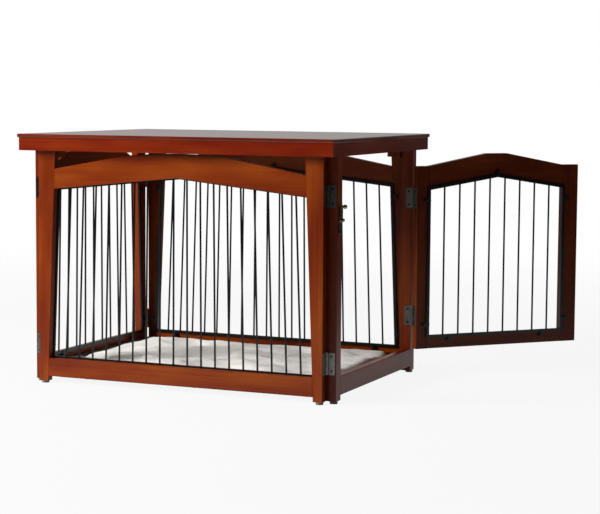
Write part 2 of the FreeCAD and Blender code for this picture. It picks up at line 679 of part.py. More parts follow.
def latch_plate_screws(clearance):
    """The screw at the plate's lower end."""
    height = LATCH_PIVOT_HEIGHT - LATCH_PLATE_DOWN + LATCH_SCREW_MARGIN
    return [pan_screw(on_latch(height, LATCH_PLATE_THICKNESS), LATCH_PLATE_THICKNESS, clearance)]


def pan_screw(seat, metal, clearance):
    """A pan-headed screw from a seat on an outer face, through some metal into the timber."""
    end = seat + vec(0.0, metal + LATCH_SCREW_DEPTH + clearance)
    shank = rod(LATCH_SCREW_RADIUS + clearance, seat, end)
    if clearance > 0.0:
        return shank
    head = rod(LATCH_SCREW_HEAD_RADIUS, seat - vec(0.0, LATCH_SCREW_HEAD_HEIGHT), seat)
    return shank.fuse(head)


def latch_pivot(clearance):
    """The ball-headed screw that the arm turns on."""
    seat = LATCH_ARM_FAR + LATCH_RUNNING_GAP
    shank = rod(LATCH_PIVOT_RADIUS + clearance, on_latch(LATCH_PIVOT_HEIGHT, seat),
                on_latch(LATCH_PIVOT_HEIGHT, -LATCH_SCREW_DEPTH - clearance))
    if clearance > 0.0:
        return shank
    centre = on_latch(LATCH_PIVOT_HEIGHT, seat + LATCH_BALL_RADIUS / 2.0)
    ball = Part.makeSphere(LATCH_BALL_RADIUS, centre)
    inner_half = LATCH_BALL_RADIUS * 2.0
    cutter = box((LATCH_ALONG - inner_half, LATCH_ALONG + inner_half), (-seat, inner_half),
                 (LATCH_PIVOT_HEIGHT - inner_half, LATCH_PIVOT_HEIGHT + inner_half))
    return ball.cut(cutter).fuse(shank)


def latch_arm():
    """The flat arm that swings down over the closed door, standing upright at rest."""
    half = LATCH_ARM_WIDTH / 2.0
    top = LATCH_PIVOT_HEIGHT + LATCH_ARM_LENGTH
    depths = (-LATCH_ARM_FAR, -LATCH_ARM_NEAR)
    body = box((LATCH_ALONG - half, LATCH_ALONG + half), depths, (LATCH_PIVOT_HEIGHT, top))
    ends = [rod(half, on_latch(height, LATCH_ARM_FAR), on_latch(height, LATCH_ARM_NEAR))
            for height in (LATCH_PIVOT_HEIGHT, top)]
    bore = rod(LATCH_PIVOT_RADIUS + PIN_CLEARANCE, on_latch(LATCH_PIVOT_HEIGHT, LATCH_ARM_FAR),
               on_latch(LATCH_PIVOT_HEIGHT, LATCH_ARM_NEAR))
    return body.fuse(ends).cut(bore).removeSplitter()


def latch_knob():
    """The mushroom knob riveted to the arm's free end."""
    top = LATCH_PIVOT_HEIGHT + LATCH_ARM_LENGTH
    neck = LATCH_ARM_FAR + LATCH_KNOB_STEM_LENGTH
    stem = rod(LATCH_KNOB_STEM_RADIUS, on_latch(top, LATCH_ARM_FAR), on_latch(top, neck))
    head = Part.makeSphere(LATCH_KNOB_RADIUS, on_latch(top, neck))
    return stem.fuse(head).removeSplitter()


def keeper_floor():
    """Height of the ledge that the dropped arm lies over."""
    return LATCH_PIVOT_HEIGHT - LATCH_ARM_WIDTH / 2.0 - KEEPER_ARM_GAP


def latch_keeper():
    """A J-shaped catch on the door that the dropped arm lies in, in the door's place."""
    xs = (KEEPER_FROM_EDGE, KEEPER_FROM_EDGE + KEEPER_WIDTH)
    floor = keeper_floor()
    lip = LATCH_ARM_FAR + KEEPER_ARM_GAP
    plate = box(xs, (-KEEPER_METAL, 0.0), (floor - KEEPER_PLATE_LENGTH, floor))
    ledge = box(xs, (-lip - KEEPER_METAL, 0.0), (floor - KEEPER_METAL, floor))
    catch = box(xs, (-lip - KEEPER_METAL, -lip), (floor - KEEPER_METAL, floor + KEEPER_LIP_HEIGHT))
    return plate.fuse([ledge, catch]).cut(keeper_screw(SCREW_CLEARANCE)).removeSplitter()


def keeper_screw(clearance):
    """The keeper's screw into the door's free stile."""
    height = keeper_floor() - KEEPER_PLATE_LENGTH + LATCH_SCREW_MARGIN
    seat = vec(KEEPER_FROM_EDGE + KEEPER_WIDTH / 2.0, -KEEPER_METAL, height)
    return pan_screw(seat, KEEPER_METAL, clearance)


# ---------------------------------------------------------------- table top, tray and pad
def table_top():
    """Every piece of the lift-off top, in its place on the ring."""
    half_x, half_y = CAP_HALF_X - CAP_NOSING, CAP_HALF_Y - CAP_NOSING
    inner_x, inner_y = half_x - APRON_THICKNESS, half_y - APRON_THICKNESS
    heights = (TOP_UNDERSIDE, APRON_TOP)
    near, far = RING_MIDDLE - half_y, RING_MIDDLE + half_y
    within = (RING_MIDDLE - inner_y, RING_MIDDLE + inner_y)
    cap = box((-CAP_HALF_X, CAP_HALF_X), (RING_MIDDLE - CAP_HALF_Y, RING_MIDDLE + CAP_HALF_Y),
              (APRON_TOP, TABLE_HEIGHT))
    cap = cap.makeFillet(CAP_ROUND, cap.Edges)
    front = box((-half_x, half_x), (near, within[0]), heights)
    back = box((-half_x, half_x), (within[1], far), heights)
    ends = [box(sorted((side * inner_x, side * half_x)), within, heights) for side in (-1.0, 1.0)]
    bearers = [box(sorted((side * inner_x, side * (inner_x - BEARER_WIDTH))), within, heights)
               for side in (-1.0, 1.0)]
    return {
        "top_cap_board": cap,
        "top_apron_front": front,
        "top_apron_back": back,
        "top_apron_ends": ends,
        "top_bearers": bearers,
        "top_locating_blocks": locating_blocks(),
    }


def locating_blocks():
    """Blocks under the bearers that drop just inside the ring's four corners."""
    x_far = SIDE_OUTER - DOORWAY_STILE_DEPTH - BLOCK_CLEARANCE
    y_near = STOCK + BLOCK_CLEARANCE
    y_far = BACK_INNER - BLOCK_CLEARANCE
    heights = (TOP_UNDERSIDE - BLOCK_HEIGHT, TOP_UNDERSIDE)
    blocks = []
    for side in (-1.0, 1.0):
        xs = sorted((side * x_far, side * (x_far - BLOCK_SIDE)))
        for ys in ((y_near, y_near + BLOCK_SIDE), (y_far - BLOCK_SIDE, y_far)):
            blocks.append(box(xs, ys, heights))
    return blocks


def tray_half(height, wall):
    """Half sizes and corner radius of the tray's outline at a height, less a wall."""
    lean = TRAY_DRAFT * (TRAY_RIM_TOP - height) / (TRAY_RIM_TOP - TRAY_FLOOR_LOW)
    less = TRAY_CLEARANCE + TRAY_LIP + lean + wall
    return SIDE_INNER - less, (BACK_INNER - STOCK) / 2.0 - less, TRAY_CORNER - wall


def tray_body(low, high, wall):
    """A tapered block of the tray's outline between two heights."""
    wires = [rounded_wire(*tray_half(height, wall), height) for height in (low, high)]
    return Part.makeLoft(wires, True, True)


def floor_tray():
    """A moulded tray with leaning walls, an outward lip and round feet."""
    shell = tray_body(TRAY_FLOOR_LOW, TRAY_RIM_TOP, 0.0)
    hollow = tray_body(TRAY_FLOOR_LOW + TRAY_WALL, TRAY_RIM_TOP, TRAY_WALL)
    half_x, half_y, corner = tray_half(TRAY_RIM_TOP, 0.0)
    lip_face = Part.Face(rounded_wire(half_x + TRAY_LIP, half_y + TRAY_LIP, corner + TRAY_LIP,
                                      TRAY_RIM_TOP - TRAY_LIP_THICKNESS))
    lip = lip_face.extrude(UP * TRAY_LIP_THICKNESS)
    feet = []
    for sx in (-1.0, 0.0, 1.0):
        for sy in (-1.0, 1.0):
            foot = vec(sx * (half_x - TRAY_FOOT_INSET), RING_MIDDLE + sy * (half_y - TRAY_FOOT_INSET))
            feet.append(rod(TRAY_FOOT_RADIUS, foot, foot + UP * (TRAY_FLOOR_LOW + TRAY_WALL / 2.0)))
    return shell.fuse([lip] + feet).cut(hollow).removeSplitter()


def floor_pad():
    """The soft pad in the tray: drawn in above and below its seam, with a low crown."""
    low = TRAY_FLOOR_LOW + TRAY_WALL + PAD_SEAT_GAP
    half_x, half_y, corner = tray_half(low, TRAY_WALL + PAD_CLEARANCE)
    seam = low + PAD_THICKNESS / 2.0
    top = low + PAD_THICKNESS
    levels = ((low, PAD_DRAW), (seam, 0.0), (top - PAD_CROWN, PAD_DRAW),
              (top, PAD_DRAW + PAD_CROWN_RUN))
    wires = [rounded_wire(half_x - draw, half_y - draw, corner + draw, height)
             for height, draw in levels]
    return Part.makeLoft(wires, True, True)


# ---------------------------------------------------------------- the whole crate
def ring_places():
    """Where each panel, drawn along +X, goes in the ring."""
    corners = {
        "front": (0.0, vec(-FRONT_LENGTH / 2.0, 0.0)),
        "right": (90.0, vec(SIDE_OUTER, SIDE_NEAR)),
        "back": (180.0, vec(FRONT_LENGTH / 2.0, BACK_OUTER)),
        "left": (270.0, vec(-SIDE_OUTER, SIDE_FAR)),
    }
    return {side: FreeCAD.Placement(origin, FreeCAD.Rotation(UP, turn))
            for side, (turn, origin) in corners.items()}


def open_door_place(right):
    """The door's place at rest: closed in the doorway, then swung open about its pins."""
    closed = right.multiply(FreeCAD.Placement(vec(DOOR_START, 0.0), FreeCAD.Rotation()))
    pin = right.multVec(vec(DOOR_PIN_ALONG, -PIN_FROM_FACE))
    swing = FreeCAD.Placement(vec(0.0, 0.0), FreeCAD.Rotation(UP, DOOR_OPEN_ANGLE), pin)
    return swing.multiply(closed)


def as_shape(pieces, place):
    """One placed shape from a solid, or a compound from a list of them."""
    if isinstance(pieces, list):
        return Part.makeCompound([placed(piece, place) for piece in pieces])
    return placed(pieces, place)


def whole_crate():
    """Every node of the crate in the ring's own frame."""
    places = ring_places()
    still = FreeCAD.Placement()
    door_place = open_door_place(places["right"])
    near_pins, far_pins = ring_hinges(FRONT_LENGTH)
    loose_side = ring_hinges(SIDE_LENGTH)[1]
    loose_pins = [loose_side.hinge_pin(centre, LOOSE_PIN_HEAD_RADIUS, LOOSE_PIN_HEAD_HEIGHT,
                                       LOOSE_PIN_DRAW) for centre in CORNER_HINGES]
    groups = [
        (grilled_panel("front", FRONT_LENGTH, FRONT_WIRE_COUNT), places["front"]),
        (grilled_panel("back", FRONT_LENGTH, FRONT_WIRE_COUNT), places["back"]),
        (grilled_panel("left", SIDE_LENGTH, SIDE_WIRE_COUNT), places["left"]),
        (doorway_panel(), places["right"]),
        (door(), door_place),
        ({"front_hinge_pins": near_pins.all_pins() + far_pins.all_pins()}, places["front"]),
        ({"back_hinge_pins": far_pins.all_pins()}, places["back"]),
        ({"upper_closing_pin": loose_pins[0], "lower_closing_pin": loose_pins[1]},
         places["right"]),
        (table_top(), still),
        ({"floor_tray": floor_tray(), "floor_pad": floor_pad()}, still),
    ]
    return {name: as_shape(pieces, place)
            for pieces_by_name, place in groups for name, pieces in pieces_by_name.items()}


def middle_of(shapes):
    """The middle of the whole crate's plan, door and all."""
    boxes = [shape.optimalBoundingBox(False) for shape in shapes]
    middle_x = (min(b.XMin for b in boxes) + max(b.XMax for b in boxes)) / 2.0
    middle_y = (min(b.YMin for b in boxes) + max(b.YMax for b in boxes)) / 2.0
    return vec(middle_x, middle_y)


def report(shift):
    """Print the places that a description of the joints and faces needs, in mm."""
    places = ring_places()
    near, far = ring_hinges(FRONT_LENGTH)
    side_far = ring_hinges(SIDE_LENGTH)[1]
    named = {
        "front_left_pin": places["front"].multVec(near.pin(0.0)),
        "front_right_pin": places["front"].multVec(far.pin(0.0)),
        "back_left_pin": places["back"].multVec(far.pin(0.0)),
        "back_right_pin": places["right"].multVec(side_far.pin(0.0)),
        "door_pin": places["right"].multVec(vec(DOOR_PIN_ALONG, -PIN_FROM_FACE)),
        "latch_pivot": places["right"].multVec(on_latch(LATCH_PIVOT_HEIGHT, LATCH_ARM_NEAR)),
        "table_top": vec(0.0, RING_MIDDLE, TABLE_HEIGHT),
        "front_left_glide": places["front"].multVec(vec(GLIDE_INSET, STOCK / 2.0)),
        "ring_low": vec(-SIDE_OUTER, 0.0),
        "ring_high": vec(SIDE_OUTER, BACK_OUTER),
    }
    for name, point in named.items():
        point = point + shift
        print("%s %.4f %.4f %.4f" % (name, point.x, point.y, point.z))
    print("loose_pin_draw %.4f" % LOOSE_PIN_DRAW)


def main():
    """Build the crate and write one STEP file per node."""
    os.makedirs("parts", exist_ok=True)
    shapes = whole_crate()
    shift = middle_of(shapes.values()) * -1.0
    for name, shape in shapes.items():
        shape.translate(shift)
        if not shape.isValid():
            raise ValueError("%s isn't a valid shape" % name)
        shape.exportStep("parts/%s.step" % name)
    report(shift)
    print(len(shapes), "nodes")


main()
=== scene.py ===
"""Looks of a folding wooden crate that doubles as an end table.

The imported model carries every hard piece. This script gives each one its finish, makes the soft
pad that lies in the tray, and sets up a plain studio with the camera.
"""

import json
import logging
import math
from dataclasses import dataclass, replace
from enum import Enum

import bmesh
import bpy
from mathutils import Euler, Matrix, Vector, noise


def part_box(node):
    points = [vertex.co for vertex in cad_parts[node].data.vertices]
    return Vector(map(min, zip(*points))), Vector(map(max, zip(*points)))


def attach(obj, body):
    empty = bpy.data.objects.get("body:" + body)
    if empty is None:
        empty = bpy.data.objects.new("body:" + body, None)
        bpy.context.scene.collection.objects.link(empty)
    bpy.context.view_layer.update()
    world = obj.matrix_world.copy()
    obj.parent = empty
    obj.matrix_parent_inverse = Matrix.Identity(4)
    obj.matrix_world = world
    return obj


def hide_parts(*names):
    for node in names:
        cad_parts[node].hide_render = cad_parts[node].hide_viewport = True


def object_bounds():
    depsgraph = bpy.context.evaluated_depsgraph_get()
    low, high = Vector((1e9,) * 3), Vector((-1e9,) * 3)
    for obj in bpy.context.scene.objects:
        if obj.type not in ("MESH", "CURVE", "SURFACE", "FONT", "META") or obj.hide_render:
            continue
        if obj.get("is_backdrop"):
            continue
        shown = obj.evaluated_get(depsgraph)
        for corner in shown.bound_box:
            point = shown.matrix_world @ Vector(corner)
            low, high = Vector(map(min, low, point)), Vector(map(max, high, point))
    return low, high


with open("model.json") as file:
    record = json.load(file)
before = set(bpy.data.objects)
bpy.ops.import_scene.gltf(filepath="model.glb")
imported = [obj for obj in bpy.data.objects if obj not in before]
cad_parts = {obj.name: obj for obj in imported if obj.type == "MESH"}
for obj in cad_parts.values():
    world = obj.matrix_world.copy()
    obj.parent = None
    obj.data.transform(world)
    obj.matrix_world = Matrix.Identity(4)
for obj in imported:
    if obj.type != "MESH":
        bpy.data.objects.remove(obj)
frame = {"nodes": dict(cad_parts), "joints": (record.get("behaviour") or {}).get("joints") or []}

LOG = logging.getLogger("crate")
MM = 0.001

Colour = tuple[float, float, float, float]


# ------------------------------------------------------------------ helpers for materials
def linear(hex_colour: str) -> Colour:
    """Turn an sRGB hex colour into Blender's linear RGBA.

    Args:
        hex_colour: Six hex digits, with or without a leading hash.

    Returns:
        Red, green, blue and an alpha of one, each from 0 to 1.
    """
    digits = hex_colour.lstrip("#")
    shares = [int(digits[start:start + 2], 16) / 255.0 for start in (0, 2, 4)]
    red, green, blue = [share / 12.92 if share <= 0.04045 else ((share + 0.055) / 1.055) ** 2.4
                        for share in shares]
    return red, green, blue, 1.0


def grey(value: float) -> Colour:
    """A neutral colour, already linear."""
    return value, value, value, 1.0


WHITE = grey(1.0)
BLACK = grey(0.0)


def add_node(tree: bpy.types.NodeTree, kind: str, values: dict | None = None, links: dict | None = None,
             stops: list[tuple[float, Colour]] | None = None, **settings: object) -> bpy.types.Node:
    """Add one node with its settings, socket values, incoming links and ramp stops.

    Args:
        tree: The node tree that gets the node.
        kind: The node's Blender type name.
        values: Numbers or colours by input socket name or index.
        links: Output sockets by the input socket name or index that they feed.
        stops: Position and colour of each stop of a colour ramp, in order.
        settings: Attributes of the node itself.

    Returns:
        The new node.
    """
    node = tree.nodes.new(kind)
    for name, value in settings.items():
        setattr(node, name, value)
    for socket, value in (values or {}).items():
        node.inputs[socket].default_value = value
    for socket, source in (links or {}).items():
        tree.links.new(source, node.inputs[socket])
    if stops:
        elements = node.color_ramp.elements
        for element, (position, colour) in zip(elements, (stops[0], stops[-1])):
            element.position = position
            element.color = colour
        for position, colour in stops[1:-1]:
            elements.new(position).color = colour
    return node


def new_material(name: str) -> tuple[bpy.types.Material, bpy.types.NodeTree]:
    """Make an empty node material.

    Args:
        name: The material's name.

    Returns:
        The material and its cleared node tree.
    """
    material = bpy.data.materials.new(name)
    material.use_nodes = True
    material.node_tree.nodes.clear()
    return material, material.node_tree


class Grain(Enum):
    """Which way a pattern's long axis lies, as turns about X, Y and Z in degrees."""

    LEFT_RIGHT = (0.0, 0.0, 0.0)
    FRONT_BACK = (0.0, 0.0, 90.0)
    UPRIGHT = (0.0, -90.0, 0.0)

    def turn(self) -> Euler:
        """The turn that lays a pattern's X axis that way."""
        return Euler([math.radians(angle) for angle in self.value])


@dataclass(frozen=True)
class Pattern:
    """Noise on Object coordinates whose cells have a real size."""

    length: float                        # of a cell, in metres, along the pattern's own X axis
    detail: float                        # octaves of finer noise
    roughness: float                     # strength of those octaves
    shift: float = 0.0                   # moves the pattern, so that two of them don't match
    width: float | None = None           # of a cell, where that isn't its length
    shift_shares: tuple[float, float, float] = (1.0, 0.7, 1.3)   # of the shift, along X, Y and Z

    def value(self, tree: bpy.types.NodeTree, turn: Euler = Euler(),
              seed: float = 1.0) -> bpy.types.NodeSocket:
        """Add the pattern to a material.

        Args:
            tree: The material's node tree.
            turn: How the cells' axes are turned from the object's.
            seed: Multiplies the shift, so that two boards don't match.

        Returns:
            The noise value, from 0 to 1.
        """
        shift = self.shift * seed
        width = self.width or self.length
        place = add_node(tree, "ShaderNodeTexCoord")
        mapping = add_node(tree, "ShaderNodeMapping",
                           {"Location": [shift * share for share in self.shift_shares],
                            "Rotation": turn, "Scale": (self.length, width, width)},
                           {"Vector": place.outputs["Object"]}, vector_type="TEXTURE")
        cells = add_node(tree, "ShaderNodeTexNoise",
                         {"Scale": 1.0, "Detail": self.detail, "Roughness": self.roughness},
                         {"Vector": mapping.outputs["Vector"]})
        return cells.outputs["Fac"]


@dataclass(frozen=True)
class Skin:
    """How far patterns change a hard surface's roughness and stand out of it."""

    smoother: float                      # off the roughness, where the pattern is lowest
    rougher: float                       # on the roughness, where it is highest
    relief: float                        # share of the depth that shows
    depth: float                         # of the relief, in metres

    def shader(self, tree: bpy.types.NodeTree, roughness: float, colour: bpy.types.NodeSocket,
               gloss: bpy.types.NodeSocket, height: bpy.types.NodeSocket,
               values: dict[str, float]) -> bpy.types.Node:
        """Add the shader of a surface with this skin.

        Args:
            tree: The material's node tree.
            roughness: The surface's own roughness.
            colour: Its colour.
            gloss: The pattern that its roughness follows.
            height: The pattern that stands out of it.
            values: The shader's other numbers, by socket name.

        Returns:
            The shader's node.
        """
        dulled = add_node(tree, "ShaderNodeMapRange",
                          {"To Min": roughness - self.smoother, "To Max": roughness + self.rougher},
                          {"Value": gloss})
        bumps = add_node(tree, "ShaderNodeBump", {"Strength": self.relief, "Distance": self.depth},
                         {"Height": height})
        return add_node(tree, "ShaderNodeBsdfPrincipled", values,
                        {"Base Color": colour, "Roughness": dulled.outputs["Result"],
                         "Normal": bumps.outputs["Normal"]})


# ------------------------------------------------------------------ finishes
@dataclass(frozen=True)
class Finish:
    """A surface finish, named for its real material and how it was made."""

    name: str

    def shader(self, tree: bpy.types.NodeTree) -> bpy.types.Node:
        """Add the finish's patterns and return its shader's node."""
        raise NotImplementedError

    def material(self) -> bpy.types.Material:
        """Make the finish's material."""
        material, tree = new_material(self.name)
        shader = self.shader(tree)
        add_node(tree, "ShaderNodeOutputMaterial", links={"Surface": shader.outputs[0]})
        return material


class Stain(Enum):
    """Deep, middle and bright colours of the stained boards."""

    PANEL = ("#5c1a04", "#702905", "#823a0a")
    APRON = ("#560d03", "#671803", "#782705")
    CAP = ("#4e1208", "#611e0b", "#702a10")


@dataclass(frozen=True)
class StainedRubberwood(Finish):
    """Rubberwood wiped with red-brown stain and sprayed with satin lacquer.

    A soft drift from orange-brown to red-brown along each board, with faint streaks and short
    pores under a smooth coat that takes a pale sheen from the floor and the pale wall.
    """

    turn: Euler
    seed: float
    stain: Stain = Stain.PANEL
    figure: Pattern = Pattern(length=260 * MM, width=60 * MM, detail=2.0, roughness=0.5, shift=1.9)
    # Streaks are drawn wider than real ones, so that they show.
    streak: Pattern = Pattern(length=240 * MM, width=4.5 * MM, detail=3.0, roughness=0.55, shift=1.0)
    # Real pores are a quarter as wide and would not show.
    pore: Pattern = Pattern(length=11 * MM, width=1.1 * MM, detail=1.0, roughness=0.4, shift=2.7)
    figure_share: float = 0.7            # of the drift of colour; the streaks have the rest
    streak_share: float = 0.3
    drift: tuple[float, float, float] = (0.34, 0.50, 0.66)   # where the three colours lie in it
    pore_edge: tuple[float, float] = (0.30, 0.40)            # a full pore, and none
    pore_share: float = 0.35             # how far a pore darkens the stain
    roughness: float = 0.34
    skin: Skin = Skin(smoother=0.05, rougher=0.07, relief=0.05, depth=0.3 * MM)
    ior: float = 1.45
    shine: float = 0.32
    coat: float = 0.0
    coat_roughness: float = 0.2

    def shader(self, tree: bpy.types.NodeTree) -> bpy.types.Node:
        """Add the finish's patterns and return its shader's node."""
        streaks, figure, pores = [pattern.value(tree, self.turn, self.seed)
                                  for pattern in (self.streak, self.figure, self.pore)]
        broad = add_node(tree, "ShaderNodeMath", {1: self.figure_share}, {0: figure},
                         operation="MULTIPLY")
        drift = add_node(tree, "ShaderNodeMath", {1: self.streak_share},
                         {0: streaks, 2: broad.outputs[0]}, operation="MULTIPLY_ADD")
        colours = [linear(colour) for colour in self.stain.value]
        stained = add_node(tree, "ShaderNodeValToRGB", links={"Fac": drift.outputs[0]},
                           stops=list(zip(self.drift, colours)))
        pored = add_node(tree, "ShaderNodeValToRGB", links={"Fac": pores},
                         stops=list(zip(self.pore_edge, (WHITE, BLACK))))
        faint = add_node(tree, "ShaderNodeMath", {1: self.pore_share}, {0: pored.outputs["Color"]},
                         operation="MULTIPLY")
        colour = add_node(tree, "ShaderNodeMix", {7: colours[0]},
                          {"Factor": faint.outputs[0], 6: stained.outputs["Color"]}, data_type="RGBA")
        return self.skin.shader(tree, self.roughness, colour.outputs[2], streaks, drift.outputs[0],
                                {"IOR": self.ior, "Specular IOR Level": self.shine,
                                 "Coat Weight": self.coat, "Coat Roughness": self.coat_roughness})


@dataclass(frozen=True)
class PowderCoatedSteel(Finish):
    """Steel wire and flat bar, welded and powder coated satin black.

    Nearly black with a soft highlight along each wire and a faint orange-peel skin.
    """

    colour: str = "#09090a"
    worn: str = "#101011"
    peel: Pattern = Pattern(length=1.6 * MM, detail=2.0, roughness=0.5)
    cloud: Pattern = Pattern(length=60 * MM, detail=2.0, roughness=0.5, shift=0.4)
    clouding: tuple[float, float] = (0.35, 0.7)
    roughness: float = 0.36
    skin: Skin = Skin(smoother=0.06, rougher=0.08, relief=0.12, depth=0.1 * MM)
    ior: float = 1.5

    def shader(self, tree: bpy.types.NodeTree) -> bpy.types.Node:
        """Add the finish's patterns and return its shader's node."""
        peel = self.peel.value(tree)
        cloud = self.cloud.value(tree)
        colours = (linear(self.colour), linear(self.worn))
        colour = add_node(tree, "ShaderNodeValToRGB", links={"Fac": cloud},
                          stops=list(zip(self.clouding, colours)))
        return self.skin.shader(tree, self.roughness, colour.outputs["Color"], cloud, peel,
                                {"IOR": self.ior})


@dataclass(frozen=True)
class PlatedMetal(Finish):
    """Plated steel or brass, rolled, stamped or cast, with fine marks along one way.

    Silvery or antique, duller in clouds where hands and tools have rubbed it.
    """

    bright: str
    dull: str
    roughness: float
    mark: Pattern = Pattern(length=14 * MM, width=0.7 * MM, detail=2.0, roughness=0.5, shift=0.2)
    cloud: Pattern = Pattern(length=4 * MM, detail=3.0, roughness=0.6, shift=0.9)
    clouding: tuple[float, float] = (0.34, 0.62)
    skin: Skin = Skin(smoother=0.08, rougher=0.12, relief=0.1, depth=0.05 * MM)

    def shader(self, tree: bpy.types.NodeTree) -> bpy.types.Node:
        """Add the finish's patterns and return its shader's node."""
        marks = self.mark.value(tree, Grain.UPRIGHT.turn())
        cloud = self.cloud.value(tree)
        colours = (linear(self.dull), linear(self.bright))
        colour = add_node(tree, "ShaderNodeValToRGB", links={"Fac": cloud},
                          stops=list(zip(self.clouding, colours)))
        return self.skin.shader(tree, self.roughness, colour.outputs["Color"], marks, marks,
                                {"Metallic": 1.0})


@dataclass(frozen=True)
class MouldedPlastic(Finish):
    """Injection or vacuum moulded plastic with a fine spark-eroded stipple.

    Matt, with a slight mottle where the plastic flowed or was stretched.
    """

    colour: str
    mottle: str
    roughness: float
    stipple: Pattern = Pattern(length=0.9 * MM, detail=2.0, roughness=0.6)
    cloud: Pattern = Pattern(length=70 * MM, detail=2.0, roughness=0.5, shift=0.3)
    clouding: tuple[float, float] = (0.35, 0.68)
    skin: Skin = Skin(smoother=0.07, rougher=0.1, relief=0.35, depth=0.2 * MM)
    ior: float = 1.5

    def shader(self, tree: bpy.types.NodeTree) -> bpy.types.Node:
        """Add the finish's patterns and return its shader's node."""
        stipple = self.stipple.value(tree)
        cloud = self.cloud.value(tree)
        colours = (linear(self.colour), linear(self.mottle))
        colour = add_node(tree, "ShaderNodeValToRGB", links={"Fac": cloud},
                          stops=list(zip(self.clouding, colours)))
        return self.skin.shader(tree, self.roughness, colour.outputs["Color"], stipple, stipple,
                                {"IOR": self.ior})


@dataclass(frozen=True)
class KnittedFleece(Finish):
    """Brushed polyester fleece, knitted and raised into short curled tufts.

    Cream and quite matt, with a soft pale rim and small tufts; the hollows between the tufts are painted
    darker as shade, over a broad tone that differs at random.
    """

    pile: str = "#fffcf6"
    # darker end of the colour: painted shade in the hollows between tufts, and a random darker tone
    hollow_shade_and_mottle: str = "#ece6dc"
    tuft: Pattern = Pattern(length=4.5 * MM, detail=3.0, roughness=0.6)
    # Real fibres are far finer and would not show.
    fibre: Pattern = Pattern(length=1.3 * MM, detail=2.0, roughness=0.6, shift=0.5)
    broad: Pattern = Pattern(length=90 * MM, detail=2.0, roughness=0.5, shift=0.8)
    tuft_share: float = 0.6              # of the tufts in the colour, beside the broad pattern
    shading: tuple[float, float] = (0.55, 0.95)
    fibre_share: float = 0.35            # of the fibres in the relief, beside the tufts
    relief: float = 0.8
    depth: float = 1.6 * MM
    roughness: float = 0.95
    shine: float = 0.2
    sheen: float = 0.35
    sheen_roughness: float = 0.5

    def shader(self, tree: bpy.types.NodeTree) -> bpy.types.Node:
        """Add the finish's patterns and return its shader's node."""
        tufts, fibres, broad = [pattern.value(tree) for pattern in (self.tuft, self.fibre, self.broad)]
        blended = add_node(tree, "ShaderNodeMath", {1: self.tuft_share}, {0: tufts, 2: broad},
                           operation="MULTIPLY_ADD")
        # The colour follows the same tufts as the relief, so the low parts between them carry painted
        # shade; the broad pattern adds a random tone.
        colours = (linear(self.hollow_shade_and_mottle), linear(self.pile))
        colour = add_node(tree, "ShaderNodeValToRGB", links={"Fac": blended.outputs[0]},
                          stops=list(zip(self.shading, colours)))
        raised = add_node(tree, "ShaderNodeMath", {1: self.fibre_share}, {0: fibres, 2: tufts},
                          operation="MULTIPLY_ADD")
        bumps = add_node(tree, "ShaderNodeBump", {"Strength": self.relief, "Distance": self.depth},
                         {"Height": raised.outputs[0]})
        return add_node(tree, "ShaderNodeBsdfPrincipled",
                        {"Roughness": self.roughness, "Specular IOR Level": self.shine,
                         "Sheen Weight": self.sheen, "Sheen Roughness": self.sheen_roughness},
                        {"Base Color": colour.outputs["Color"], "Normal": bumps.outputs["Normal"]})


# ------------------------------------------------------------------ timber, wire and hardware
def dress(node_name: str, material: bpy.types.Material) -> None:
    """Give every material slot of a carried node the same material.

    Args:
        node_name: The node's name.
        material: Its new material.
    """
    target = frame["nodes"][node_name]
    if not target.material_slots:
        target.data.materials.append(material)
    for slot in target.material_slots:
        slot.material = material
    LOG.info("dressed %s in %s", node_name, material.name)


@dataclass
class Timber:
    """Every board of the panels, the door and the table top."""

    first_seed: float = 1.0
    seed_step: float = 0.731
    shut_door_turn: float = 90.0         # the shut door lies front to back, in degrees
    cap_roughness: float = 0.3           # the cap is rubbed smoother and coated again
    cap_shine: float = 0.5
    cap_coat: float = 0.5

    def door_turn(self) -> Euler:
        """The turn that lays a pattern's X axis along the open door."""
        swing = next(joint for joint in frame["joints"] if joint["name"] == "door_swing")
        open_angle = -swing["range_deg"][0]
        return Euler((0.0, 0.0, math.radians(open_angle - self.shut_door_turn)))

    def turn(self, board: str) -> Euler:
        """The turn that lays a pattern's X axis along a board's grain.

        Args:
            board: The board's node name.

        Returns:
            The turn from the object's axes.
        """
        if board.endswith("stile"):
            return Grain.UPRIGHT.turn()
        if board.startswith("door"):
            return self.door_turn()
        if board.startswith(("left", "right", "top_apron_ends", "top_bearers")):
            return Grain.FRONT_BACK.turn()
        return Grain.LEFT_RIGHT.turn()

    def finish(self, board: str, seed: float) -> Finish:
        """The finish of one board.

        Args:
            board: The board's node name.
            seed: A number of its own, so that its grain matches no other board's.

        Returns:
            The stained timber in the board's own colours.
        """
        plain = StainedRubberwood("stained_rubberwood_" + board, self.turn(board), seed)
        if board.startswith("top_apron"):
            return replace(plain, stain=Stain.APRON)
        if board == "top_cap_board":
            return replace(plain, stain=Stain.CAP, roughness=self.cap_roughness, shine=self.cap_shine,
                           coat=self.cap_coat)
        return plain

    def dress_all(self) -> None:
        """Give each board its own cut of the stained timber."""
        boards = sorted(name for name in frame["nodes"]
                        if name.endswith(("stile", "rail")) or name.startswith("top_"))
        for number, board in enumerate(boards):
            seed = self.first_seed + number * self.seed_step
            dress(board, self.finish(board, seed).material())


